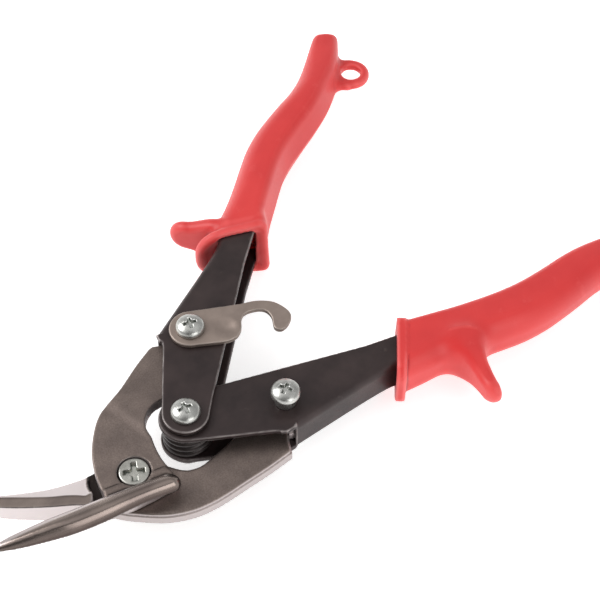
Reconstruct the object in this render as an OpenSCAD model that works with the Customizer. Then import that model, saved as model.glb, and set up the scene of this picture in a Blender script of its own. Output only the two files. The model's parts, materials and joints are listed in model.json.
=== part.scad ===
// Compound-action offset sheet-metal snips, shown with the jaws open.
// +X runs from the grips to the jaw tips, +Z is up. Sizes are millimetres.

/* [Linkage] */
// Distance from the blade pivot to each tang pivot
blade_arm = 49.6; // [49:0.2:50.2]
// Distance from the handle pivot to each tang pivot
handle_arm = 30; // [29.6:0.1:30.4]
// Half the angle between the two blade tangs with the jaws open
tang_half_angle = 22.6; // [22.2:0.1:23]

/* [Blades] */
// Thickness of the upper blade around the blade pivot
upper_blade_thickness = 4.1; // [4:0.1:4.3]
// Thickness of the lower blade
lower_blade_thickness = 4.4; // [4.2:0.1:4.4]
// Height of the plane where the two jaws shear, above the plane between the blades
shear_height = 4.7; // [4.6:0.1:5]
// Height of the rounded jaw above the shear plane
jaw_height = 4.6; // [4.2:0.2:5.2]

/* [Handles] */
// Sheet thickness of both handle channels
handle_sheet = 1.8; // [1.6:0.1:1.8]
// Half the outside thickness of the left handle channel
left_half_thickness = 8.6; // [8.5:0.1:8.9]

/* [Fasteners] */
// Shank radius of the pivot screws
shank_radius = 2.75; // [2.6:0.05:2.85]
// Radius of the pan heads
head_radius = 4.55; // [4.4:0.05:4.7]
// Radius of the hole in the lanyard ring
lanyard_hole_radius = 3.9; // [3.6:0.1:4]

/* [Hidden] */
$fn = 96;

// where the blade pivot stands: the origin is under the middle of the tool
blade_pivot = [67.17, 0, 12.7];

// the two blade tangs, the handle pivot and where it goes when the jaws close
tang_x = -blade_arm * cos(tang_half_angle);
tang_y = blade_arm * sin(tang_half_angle);
handle_half_angle = asin(tang_y / handle_arm);
handle_pivot_x = tang_x + handle_arm * cos(handle_half_angle);
closing_angle = 20;
closed_half_angle = tang_half_angle - closing_angle / 2;
closed_pivot_x = -blade_arm * cos(closed_half_angle)
    + handle_arm * cos(asin(blade_arm * sin(closed_half_angle) / handle_arm));

// clearances
running = 0.05;
loose = 0.35;
press = 0.03;
through = 30;

// blades
tang_top = 4.45;
tang_end_radius = 7;
stack_room = 8.4;
rim_relief = 13.9;
jaw_round = 7.6;
jaw_heading = -29.2;
jaw_fall = 2.6;
land_slope = 46;
tip_thinning = 6.2;
tip_drop = 0.01;

// handles, latch and grips
pivot_washer_gap = 0.5;
right_half_thickness = left_half_thickness - handle_sheet - pivot_washer_gap;
latch_thickness = 1.6;
latch_angle = -77.5;
latch_eye = 6.6;
lanyard_centre = [152.6, -51.2, 0];
lanyard_rim = 2.8;
lanyard_thickness = 2.8;
guard_half_height = 8.6;
guard_tip_height = 5;
right_grip_height = 0.9;

// fasteners and spring
washer_thickness = 0.8;
blade_washer_radius = 5.4;
pivot_washer_radius = 7;
nut_height = 3.6;
nut_corner_radius = 4.6;
thread_end = 0.5;
head_height = 3;
head_dome = 7.35;
flush_head_height = 2.6;
shoulder_radius = 3.3;
spacer_radius = 4;
sleeve_radius = 3.7;
spring_wire = 1.4;
spring_radius = 6.3;
coil_pitch = 2.75;
latch_z = left_half_thickness + 0.1;
head_z = latch_z + latch_thickness + 0.1;
stud_head_z = head_z + 0.2;

// points of a round stretch from p to q whose middle stands out by bulge, to the right of the way from p to q
function arc(p, q, bulge, steps = 6) = let(half = norm(q - p) / 2,
    r = (half * half + bulge * bulge) / (2 * bulge), right = [q[1] - p[1], p[0] - q[0]] / (2 * half),
    centre = (p + q) / 2 + (bulge - r) * right, arm = p - centre)
    [for (i = [0:steps]) let(a = 4 * atan(bulge / half) * i / steps)
        centre + [arm[0] * cos(a) - arm[1] * sin(a), arm[0] * sin(a) + arm[1] * cos(a)]];
function reversed(line) = [for (i = [len(line) - 1:-1:0]) line[i]];
// which way a line runs at one of its points
function heading(line, i) = let(a = line[max(i - 1, 0)], b = line[min(i + 1, len(line) - 1)])
    atan2(b[1] - a[1], b[0] - a[0]);
// the line moved to its left
function beside(line, d) = [for (i = [0:len(line) - 1]) let(t = heading(line, i))
    line[i] + d * [-sin(t), cos(t)]];

// blade outlines, from the blade pivot
upper_jaw_edge = concat([[11.7, 0]], arc([15, -2.7], [45.2, -15], 0.8));
upper_jaw_back = concat(arc([46.6, -13.4], [10.2, 8.6], 2.5), [[-1, 13.6]]);
jaw_side = [[-7.6, 9.5], [-6, 12.4], [-1.2, 11.1], [3.5, 9.5], [9.3, 7.2], [12.2, 4]];
lower_jaw_outline = concat(arc([13.7, -12.6], [36.8, -30], -1.1), [[38.4, -28.2]],
    arc([37.6, -26.4], [16, -1.2], 0.75));
// handle outlines, along (u) and across (v) the line from the handle pivot to the tang pivot
web_line = [[29, 10.6], [60, -4.6], [70, -7.4], [87, -11.2], [103, -15.2], [113, -18.2], [123, -22.8],
    [136, -31.2]];
inner_line = [[131, -37.4], [118, -31.8], [104, -26.2], [86, -22.2], [69.7, -18.4], [57.8, -15.8]];
left_front = [[12, 7.7], [24.6, 8.3], [26.4, 9.6]];
right_front = [[12, 8.8], [24.6, 9.7], [27, 10.4]];
// grip stations: u, v, half width across, half height
grip_stations = [[69.4, -13.1, 9, 9.9], [80, -15.8, 8.4, 9.9], [90, -18.1, 8, 9.8], [100, -20.2, 7.7, 9.8],
    [108, -22.3, 7.6, 9.8], [116, -25.2, 7.5, 9.8], [123, -28.6, 7.4, 9.7], [130, -32.3, 7.2, 9.6],
    [137, -36.0, 6.9, 9.4], [146, -39.3, 6.3, 8.8], [155, -41.1, 5.8, 8.1], [162, -42.0, 5.2, 7.3],
    [167.2, -42.6, 3.6, 5.6]];

module at_pivot() translate(blade_pivot) children();
module at_handle_pivot() at_pivot() translate([handle_pivot_x, 0, 0]) children();
// left handle frame: u away from the handle pivot, v outward and forward
module left_frame() at_handle_pivot() rotate([0, 0, 180 + handle_half_angle]) children();
module right_frame() at_pivot() mirror([0, 1, 0]) translate([handle_pivot_x, 0, 0])
    rotate([0, 0, 180 + handle_half_angle]) children();
module at_left_tang() left_frame() translate([handle_arm, 0, 0]) children();
module at_right_tang() right_frame() translate([handle_arm, 0, 0]) children();
module rod(r, z0, z1) translate([0, 0, z0]) cylinder(r = r, h = z1 - z0);
module bore(r) rod(r, -through, through);
module tube(r_out, r_in, z0, z1) difference() {
    rod(r_out, z0, z1);
    bore(r_in);
}

// ---------------------------------------------------------------- fasteners
module cross_recess(z, turn) rotate([0, 0, turn]) translate([0, 0, z]) for (a = [0, 90]) rotate([0, 0, a])
    cube([4.6, 0.9, 2.6], center = true);
module pan_head(z, turn) difference() {
    translate([0, 0, z]) rotate_extrude() intersection() {
        translate([0, head_height - head_dome]) circle(r = head_dome);
        square([head_radius, head_height]);
    }
    cross_recess(z + head_height, turn);
}
module hex_nut(z_top) difference() {
    translate([0, 0, z_top - nut_height]) cylinder(r = nut_corner_radius, h = nut_height, $fn = 6);
    bore(shank_radius);
}
// shank that ends just below a nut
module shank(nut_top, z1) rod(shank_radius, nut_top - nut_height - thread_end, z1);

module blade_pivot_screw() color("Silver") at_pivot() {
    top = upper_blade_thickness - 0.1;
    difference() {
        rod(head_radius, top - flush_head_height + 0.1, top);
        cross_recess(top, 12);
    }
    shank(-lower_blade_thickness - washer_thickness, top - flush_head_height + 0.3);
}
module blade_pivot_washer() color("Silver") at_pivot() translate([0, 0, -lower_blade_thickness])
    tube(blade_washer_radius, shank_radius, -washer_thickness, 0);
module blade_pivot_nut() color("Silver") at_pivot() hex_nut(-lower_blade_thickness - washer_thickness);

module left_tang_screw() color("Silver") at_left_tang() {
    pan_head(head_z, 20);
    shank(-left_half_thickness, head_z + 0.5);
}
module left_tang_lower_spacer() color("DimGray") at_left_tang()
    tube(spacer_radius, shank_radius, -left_half_thickness + handle_sheet, 0);
module left_tang_upper_spacer() color("DimGray") at_left_tang()
    tube(spacer_radius, shank_radius, tang_top + running, left_half_thickness - handle_sheet);
module left_tang_nut() color("Silver") at_left_tang() hex_nut(-left_half_thickness);

module right_tang_stud() color("Silver") at_right_tang() {
    pan_head(stud_head_z, 35);
    rod(shoulder_radius, right_half_thickness, stud_head_z + 0.5);
    shank(-right_half_thickness, right_half_thickness + 0.5);
}
module right_tang_spacer() color("DimGray") at_right_tang()
    tube(spacer_radius, shank_radius, running, right_half_thickness - handle_sheet);
module right_tang_nut() color("Silver") at_right_tang() hex_nut(-right_half_thickness);

module handle_pivot_screw() color("Silver") left_frame() {
    pan_head(left_half_thickness, 30);
    shank(-left_half_thickness, left_half_thickness + 0.5);
}
module upper_pivot_washer() color("DimGray") left_frame() translate([0, 0, right_half_thickness])
    tube(pivot_washer_radius, shank_radius, running, pivot_washer_gap);
module lower_pivot_washer() color("DimGray") left_frame() translate([0, 0, -right_half_thickness])
    tube(pivot_washer_radius, shank_radius, -pivot_washer_gap, -running);
module spring_sleeve() color("DimGray") left_frame() {
    half = right_half_thickness - handle_sheet - 0.1;
    tube(sleeve_radius, shank_radius, -half, half);
}
module handle_pivot_nut() color("Silver") left_frame() hex_nut(-left_half_thickness);

// three turns of wire around the sleeve, one leg lying in each handle
module handle_spring() color("DarkSlateGray") {
    left_frame() {
        rotate_extrude() for (i = [-1:1]) translate([spring_radius, coil_pitch * i])
            circle(r = spring_wire, $fn = 24);
        spring_leg(-coil_pitch);
    }
    right_frame() spring_leg(coil_pitch);
}
module spring_leg(z) translate([0, spring_radius, z]) rotate([0, 90, 0])
    cylinder(r = spring_wire - 0.15, h = handle_arm - 2, $fn = 24);

// ---------------------------------------------------------------- blades
module upper_plan() polygon(concat(arc([11.6, -0.2], [-12.6, -22.5], -4.6, 9), [[-18, -22.8], [-18, -6],
    [-12.8, -5], [-10.6, -1], [-8.6, 3.2]], jaw_side));
module upper_tang_plan() {
    polygon([[-15, -22.7], [-18.5, -23.2], [-27.3, -25.4], [-34.4, -26.7], [-36, -26.6], [-38.4, -24.6],
        [-40.5, -24.2], [-47.8, -12.6], [-35, -9.2], [-23.3, -10.4], [-15, -8]]);
    translate([tang_x, -tang_y]) circle(r = tang_end_radius);
}
// ledge beside the jaw, up to the shear plane
module ledge_plan() polygon(concat([[11.7, 0], [-7.9, 6.2]], jaw_side));
// room for the handle pivot stack when the tool closes
module stack_clearance(side) rotate([0, 0, -side * closing_angle / 2]) translate([closed_pivot_x, 0, 0])
    bore(stack_room);
// bar above the shear plane: a round back that falls towards the tip
module rounded_jaw() intersection() {
    translate([0, 0, shear_height]) linear_extrude(jaw_height)
        polygon(concat([[-5.8, 11.6], [-4, 8.6]], upper_jaw_edge, upper_jaw_back, [[-4.4, 14.6]]));
    translate([-0.7, 12, shear_height + jaw_height - jaw_round]) rotate([0, 90 + jaw_fall, jaw_heading])
        rod(jaw_round, -12, 58);
}
module upper_blade() color("Gray") at_pivot() difference() {
    union() {
        translate([0, 0, running]) linear_extrude(upper_blade_thickness - running) upper_plan();
        translate([0, 0, running]) linear_extrude(tang_top - running) upper_tang_plan();
        translate([0, 0, 1]) linear_extrude(shear_height - 1) ledge_plan();
        rounded_jaw();
    }
    stack_clearance(-1);
    bore(shank_radius + running);
    rod(head_radius + 0.5, upper_blade_thickness - flush_head_height - 0.1, through);
    translate([tang_x, -tang_y]) bore(shank_radius + running);
}

module lower_plan() {
    polygon(concat(arc([10.6, 5.8], [-13.6, 24.4], 3.7, 9), [[-20, 25.8], [-28, 27.7], [-37.4, 28.9],
        [-39.6, 25.6], [-41, 24.4], [-49, 13.5], [-34, 12.4], [-26.1, 12.2], [-17, 11.7], [-11.6, 8.5],
        [-10.2, 5], [-9.4, 1.9], [-8.6, -3], [-4, -9.4], [2, -11], [6.4, -11.2]], lower_jaw_outline));
    translate([tang_x, tang_y]) circle(r = tang_end_radius);
}
// wedge outside the disc of the upper blade, up to the shear plane, with a sloping back
module lower_jaw() difference() {
    linear_extrude(shear_height - running) polygon(concat(lower_jaw_outline, [[11.4, -5], [9.8, -11.6]]));
    translate([25.4, -16.6, shear_height]) rotate([land_slope, 0, -47.3])
        translate([-50, -60, 0]) cube([100, 60, 60]);
}
module lower_blade() color("Gray") at_pivot() difference() {
    union() {
        difference() {
            translate([0, 0, -lower_blade_thickness]) linear_extrude(lower_blade_thickness) lower_plan();
            // the jaw thins towards its tip underneath
            translate([14, -4, -lower_blade_thickness - tip_drop]) rotate([0, -tip_thinning, -46.5])
                translate([0, -30, -10]) cube([60, 60, 10]);
        }
        lower_jaw();
    }
    // round relief beside the upper blade's rim
    rod(rim_relief, 0.001, through);
    stack_clearance(1);
    bore(shank_radius);
    translate([tang_x, tang_y]) bore(shank_radius + running);
}

// ---------------------------------------------------------------- handles
module flange_plan(nose, front) {
    circle(r = nose);
    polygon(concat([[0, nose]], front, web_line, inner_line, [[6, -nose - 0.7], [0, -nose]]));
}
module channel(half, nose, front, web_start) {
    for (z = [-half, half - handle_sheet]) translate([0, 0, z])
        linear_extrude(handle_sheet) flange_plan(nose, front);
    linear_extrude(2 * half - 0.2, center = true) intersection() {
        polygon(concat(web_line, reversed(beside(web_line, -handle_sheet))));
        translate([web_start, -50]) square([200, 80]);
    }
}
module left_handle() color("DimGray") left_frame() difference() {
    channel(left_half_thickness, 7.1, left_front, 28.6);
    bore(shank_radius);
    translate([handle_arm, 0, 0]) bore(shank_radius);
}
module right_handle() color("DimGray") right_frame() difference() {
    channel(right_half_thickness, 7.6, right_front, 31.4);
    bore(shank_radius + loose);
    translate([handle_arm, 0, 0]) bore(shank_radius);
}

// ---------------------------------------------------------------- latch
// eye round the screw, then the hook's outer side, its round tip, the notch and the belly
module latch_plan() polygon(concat([for (a = [-85:-10:-275]) latch_eye * [cos(a), sin(a)]],
    arc([16.6, 6], [31.3, -1.2], -3.5, 8), arc([31.3, -1.2], [25.2, -5.2], -2.4),
    arc([25.2, -5.2], [16.8, 1.7], 4.3, 10), arc([15.5, -2.4], [8, -7.2], -2.1)));
module latch() color("DarkGray") at_left_tang() rotate([0, 0, latch_angle]) translate([0, 0, latch_z])
    difference() {
        linear_extrude(latch_thickness) latch_plan();
        bore(shank_radius + running);
        translate([10.8, -2.2, latch_thickness + 2.2]) sphere(r = 3);
    }

// ---------------------------------------------------------------- grips
ring_steps = 32;
function soft(c) = sign(c) * pow(abs(c), 0.62);
function station_ring(list, i, tall) = let(s = list[i], t = heading(list, i)) [for (j = [0:ring_steps - 1])
    let(a = 360 * j / ring_steps, w = s[2] * soft(cos(a)))
    [s[0] - w * sin(t), s[1] + w * cos(t), tall * s[3] * soft(sin(a))]];
module loft(stations, tall = 1) {
    n = len(stations);
    m = ring_steps;
    polyhedron(points = [for (i = [0:n - 1]) each station_ring(stations, i, tall)],
        faces = concat([[for (j = [0:m - 1]) j]], [[for (j = [0:m - 1]) (n - 1) * m + m - 1 - j]],
        [for (i = [0:n - 2]) for (j = [0:m - 1]) let(k = (j + 1) % m)
            [i * m + j, (i + 1) * m + j, (i + 1) * m + k, i * m + k]]));
}
// finger guard: a fin that leans towards the butt, lower and rounder at its tip
module guard(root, tip) intersection() {
    linear_extrude(2 * guard_half_height, center = true) polygon(concat([root + [-4.4, 0]],
        arc(tip - [2.4, 2.4], tip + [2.4, -2.4], -2.4), [root + [5.6, 0]]));
    translate([root[0] - 10, 0, 0]) rotate([90, 0, 90]) linear_extrude(30) polygon(concat(
        [[root[1], guard_half_height], [root[1], -guard_half_height]],
        arc([tip[1] - guard_tip_height, -guard_tip_height], [tip[1] - guard_tip_height, guard_tip_height],
            guard_tip_height, 12)));
}
// what the handle and its hollow leave free of vinyl behind the mouth
module grip_slot(half) difference() {
    linear_extrude(2 * (half + press), center = true)
        polygon(concat(beside(web_line, press), beside(inner_line, press), [[50, -15.2]]));
    linear_extrude(2 * (half - handle_sheet - press), center = true) intersection() {
        polygon(concat(beside(web_line, -handle_sheet - press), [[140, -36]], beside(inner_line, 3)));
        translate([76, -50]) square([70, 60]);
    }
}
module left_grip() color("Red") left_frame() difference() {
    union() {
        loft(grip_stations);
        loft([[70, -11.3, 11.1, 10.3], [73.1, -12.1, 10.9, 10.3]]);
        guard([74.4, -9], [77.2, 9.7]);
        // lanyard ring at the butt
        translate(lanyard_centre) {
            cylinder(r = lanyard_hole_radius + lanyard_rim, h = lanyard_thickness, center = true);
            translate([0, 5, 0]) cube([12.8, 6, lanyard_thickness], center = true);
        }
    }
    translate(lanyard_centre) bore(lanyard_hole_radius);
    grip_slot(left_half_thickness);
}
module right_grip() color("Red") right_frame() difference() {
    union() {
        loft(grip_stations, right_grip_height);
        loft([[66.8, -12.6, 9.7, 10.3], [69.9, -13.4, 9.6, 10.3]], right_grip_height);
        guard([89.2, -12], [94.2, 7]);
    }
    grip_slot(right_half_thickness);
}

upper_blade();
lower_blade();
blade_pivot_screw();
blade_pivot_washer();
blade_pivot_nut();
left_handle();
right_handle();
left_grip();
right_grip();
latch();
left_tang_screw();
left_tang_lower_spacer();
left_tang_upper_spacer();
left_tang_nut();
right_tang_stud();
right_tang_spacer();
right_tang_nut();
handle_pivot_screw();
upper_pivot_washer();
lower_pivot_washer();
spring_sleeve();
handle_spring();
handle_pivot_nut();
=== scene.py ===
"""Looks of the compound-action snips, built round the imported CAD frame.

Each detailed piece but the spring is a signed distance field, in millimetres in the piece's own frame.
The field is turned into a quad mesh, and the mesh is put where the frame says.
"""
import json
import math

import bpy
import numpy as np
from mathutils import Matrix, Vector


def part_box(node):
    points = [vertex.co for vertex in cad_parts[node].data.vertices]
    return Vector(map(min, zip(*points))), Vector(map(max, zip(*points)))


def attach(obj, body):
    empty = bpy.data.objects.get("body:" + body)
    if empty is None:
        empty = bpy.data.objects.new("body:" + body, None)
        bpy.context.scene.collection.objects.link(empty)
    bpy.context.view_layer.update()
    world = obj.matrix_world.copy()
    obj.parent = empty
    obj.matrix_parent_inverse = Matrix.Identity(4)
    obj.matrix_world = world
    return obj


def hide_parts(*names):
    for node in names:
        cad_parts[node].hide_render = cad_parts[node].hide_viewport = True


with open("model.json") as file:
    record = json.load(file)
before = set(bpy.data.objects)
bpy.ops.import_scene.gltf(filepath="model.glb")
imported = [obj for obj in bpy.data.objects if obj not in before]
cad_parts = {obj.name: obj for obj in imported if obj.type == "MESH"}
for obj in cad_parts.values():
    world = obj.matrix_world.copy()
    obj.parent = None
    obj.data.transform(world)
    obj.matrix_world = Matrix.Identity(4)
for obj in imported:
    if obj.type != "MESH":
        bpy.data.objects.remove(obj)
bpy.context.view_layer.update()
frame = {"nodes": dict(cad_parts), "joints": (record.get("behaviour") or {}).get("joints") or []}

MM = 0.001

# ------------------------------------------------------------------ places taken from the frame
joints = {j["name"]: j for j in frame["joints"]}
blade_pivot = Vector(joints["blade_pivot"]["pos_m"])
left_tang = Vector(joints["left_tang_pivot"]["pos_m"])
sleeve_low, sleeve_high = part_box("spring_sleeve")
handle_pivot = (Vector(sleeve_low) + Vector(sleeve_high)) / 2
handle_pivot.z = blade_pivot.z
handle_arm = (left_tang - handle_pivot).length / MM
handle_turn = math.atan2(left_tang.y - handle_pivot.y, left_tang.x - handle_pivot.x)

SCALE = Matrix.Scale(MM, 4)
MIRROR = Matrix.Scale(-1, 4, (0, 1, 0))
BLADES = Matrix.Translation(blade_pivot) @ SCALE
# u runs from the handle pivot towards the butt, v outward
LEFT = Matrix.Translation(handle_pivot) @ Matrix.Rotation(handle_turn, 4, "Z") @ SCALE
RIGHT = MIRROR @ LEFT
LEFT_TANG = LEFT @ Matrix.Translation((handle_arm, 0, 0))
RIGHT_TANG = RIGHT @ Matrix.Translation((handle_arm, 0, 0))


def top_of(node):
    """Height of a node's top above the plane between the blades, in millimetres."""
    return (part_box(node)[1].z - blade_pivot.z) / MM


def bottom_of(node):
    """Height of a node's bottom above the plane between the blades, in millimetres."""
    return (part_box(node)[0].z - blade_pivot.z) / MM


# ------------------------------------------------------------------ distance fields
class Grid:
    """Points of a box at an even step. z is thin, so plan fields are worked out once and spread."""

    def __init__(self, low, high, step):
        axes = [np.arange(a, b + step, step) for a, b in zip(low, high)]
        self.x = axes[0][:, None, None]
        self.y = axes[1][None, :, None]
        self.z = axes[2][None, None, :]
        self.low = np.array(low, float)
        self.step = step


def curve(points, steps=6):
    """Points of a smooth curve through the given ones, without the last one."""
    p = np.array(points, float)
    if len(p) == 2:
        return [p[0]]
    p = np.vstack([2 * p[0] - p[1], p, 2 * p[-1] - p[-2]])
    out = []
    for a, b, c, d in zip(p, p[1:], p[2:], p[3:]):
        for t in np.arange(steps) / steps:
            bend = (2 * a - 5 * b + 4 * c - d) * t**2 + (3 * b - a - 3 * c + d) * t**3
            out.append((2 * b + (c - a) * t + bend) / 2)
    return out


def whole_curve(points):
    """Points of a smooth curve through the given ones, with the last one."""
    return curve(points) + [np.array(points[-1])]


def corners(*points):
    """Runs of one point each, for the straight stretches of an outline."""
    return [[p] for p in points]


def outline(*runs):
    """Closed outline of smooth runs. Each run starts where the one before it ends, at a corner."""
    out, start = [], []
    for run in runs:
        out += curve(start + list(run))
        start = [run[-1]]
    return np.array(out + start)


def line_distance(g, points, closed=False):
    """Distance in plan to a line through the points."""
    x, y = np.broadcast_arrays(g.x, g.y)
    best = np.full(x.shape, 1e9)
    pairs = zip(points, np.roll(points, -1, axis=0)) if closed else zip(points, points[1:])
    for (ax, ay), (bx, by) in pairs:
        ex, ey = bx - ax, by - ay
        t = np.clip(((x - ax) * ex + (y - ay) * ey) / max(ex * ex + ey * ey, 1e-12), 0, 1)
        best = np.minimum(best, np.hypot(x - ax - ex * t, y - ay - ey * t))
    return best


def curve_distance(g, points):
    """Distance in plan to a smooth curve through the points."""
    return line_distance(g, whole_curve(points))


def plan(g, points):
    """Signed distance in plan to a closed outline, negative inside."""
    x, y = np.broadcast_arrays(g.x, g.y)
    inside = np.zeros(x.shape, bool)
    for (ax, ay), (bx, by) in zip(points, np.roll(points, -1, axis=0)):
        left = (bx - ax) * (y - ay) > (by - ay) * (x - ax)
        inside ^= ((ay <= y) != (by <= y)) & (left == (by > ay))
    return line_distance(g, points, closed=True) * np.where(inside, -1, 1)


def disc(g, radius, x=0.0, y=0.0):
    """Signed distance in plan to a circle."""
    return np.hypot(g.x - x, g.y - y) - radius


def rounded(a, b, edge):
    """What is inside both fields, with the edge between them rounded."""
    a, b = a + edge, b + edge
    return np.hypot(np.maximum(a, 0), np.maximum(b, 0)) + np.minimum(np.maximum(a, b), 0) - edge


def slab(g, flat, low, high, edge):
    """Solid over a plan field between two heights, with its edges rounded."""
    return rounded(flat, np.abs(g.z - (low + high) / 2) - (high - low) / 2, edge)


def join(a, b, soft):
    """Union with a fillet."""
    h = np.maximum(soft - np.abs(a - b), 0) / soft
    return np.minimum(a, b) - h * h * soft / 4


def cut(a, b, soft):
    """a without b, with the edge between them rounded."""
    return -join(-a, b, soft)


def common(a, b, soft):
    """What a and b share, with the edge between them rounded."""
    return -join(-a, -b, soft)


def drilled(g, field, radius, x=0.0, y=0.0, edge=0.3):
    """The field with an upright hole right through it."""
    return cut(field, disc(g, radius, x, y), edge)


def ease(x, start, end):
    """0 before the start, 1 after the end, and a smooth step between them."""
    t = np.clip((x - start) / (end - start), 0, 1)
    return t * t * (3 - 2 * t)


# ------------------------------------------------------------------ field to mesh
def surface(g, field):
    """Quads on the zero surface of a field: one vertex in each cell that the surface crosses."""
    inside = field < 0
    corners = np.array([(i, j, k) for i in (0, 1) for j in (0, 1) for k in (0, 1)])
    cells_shape = tuple(n - 1 for n in field.shape)
    count = np.zeros(cells_shape, np.int8)
    for c in corners:
        count += inside[tuple(slice(o, o + n) for o, n in zip(c, cells_shape))]
    cells = np.argwhere((count > 0) & (count < 8))
    at = np.stack([field[tuple((cells + c).T)] for c in corners], axis=1)
    total, hits = np.zeros((len(cells), 3)), np.zeros(len(cells))
    for p in range(8):
        for q in range(p + 1, 8):
            if np.abs(corners[p] - corners[q]).sum() != 1:
                continue
            a, b = at[:, p], at[:, q]
            crosses = (a < 0) != (b < 0)
            t = np.where(crosses, a / np.where(crosses, a - b, 1), 0)
            total += crosses[:, None] * (corners[p] + t[:, None] * (corners[q] - corners[p]))
            hits += crosses
    verts = g.low + (cells + total / hits[:, None]) * g.step
    number = np.full(cells_shape, -1)
    number[tuple(cells.T)] = np.arange(len(cells))
    quads = []
    for axis in range(3):
        u, v = np.eye(3, dtype=int)[(axis + 1) % 3], np.eye(3, dtype=int)[(axis + 2) % 3]
        low = inside.take(range(cells_shape[axis]), axis)
        high = inside.take(range(1, cells_shape[axis] + 1), axis)
        edges = np.argwhere(low != high)
        edges = edges[((edges - u - v >= 0) & (edges < cells_shape)).all(axis=1)]
        ring = np.stack([number[tuple((edges - o).T)] for o in (u + v, v, 0 * u, u)], axis=1)
        outward = low[tuple(edges.T)]
        quads += [ring[outward], ring[~outward][:, ::-1]]
    return verts, np.vstack(quads)


def edge_weight(g, field, verts):
    """How sharply the field bends at each vertex: over 0 on outer edges, under 0 in inner corners."""
    bend = np.zeros_like(field)
    for axis in range(3):
        bend += np.roll(field, 1, axis) + np.roll(field, -1, axis) - 2 * field
    soft = 2 * bend
    for axis in range(3):
        soft += np.roll(bend, 1, axis) + np.roll(bend, -1, axis)
    at = np.clip((verts - g.low) / g.step, 0, np.array(field.shape) - 1.001)
    cell = at.astype(int)
    share = at - cell
    weight = np.zeros(len(verts))
    for corner in np.ndindex(2, 2, 2):
        part = np.prod(np.where(corner, share, 1 - share), axis=1)
        weight += part * soft[tuple((cell + corner).T)]
    return weight / 8 / g.step


def piece(name, body, material, g, field, place, stands_for, polish_and_light_at=None):
    """Meshes a field, puts it in place and makes it ride on its body.

    The last argument gives each vertex its polish and painted light: 0 is scale, 1 bare ground steel, 1.5
    ground steel with a painted highlight, -1 painted shade.
    """
    verts, quads = surface(g, field)
    marks = {"edge_weight": edge_weight(g, field, verts)}
    if polish_and_light_at is not None:
        marks["polish_and_painted_light"] = polish_and_light_at(*verts.T)
    if place.determinant() < 0:
        quads = quads[:, ::-1]
    turn = np.array(place)
    verts = verts @ turn[:3, :3].T + turn[:3, 3]
    mesh = bpy.data.meshes.new(name)
    mesh.vertices.add(len(verts))
    mesh.vertices.foreach_set("co", verts.ravel())
    mesh.loops.add(quads.size)
    mesh.loops.foreach_set("vertex_index", quads.ravel())
    mesh.polygons.add(len(quads))
    mesh.polygons.foreach_set("loop_start", np.arange(len(quads)) * 4)
    mesh.update(calc_edges=True)
    mesh.shade_smooth()
    for mark, values in marks.items():
        mesh.attributes.new(mark, "FLOAT", "POINT").data.foreach_set("value", values)
    mesh.materials.append(material)
    obj = bpy.data.objects.new(name, mesh)
    bpy.context.scene.collection.objects.link(obj)
    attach(obj, body)
    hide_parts(stands_for)


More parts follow.
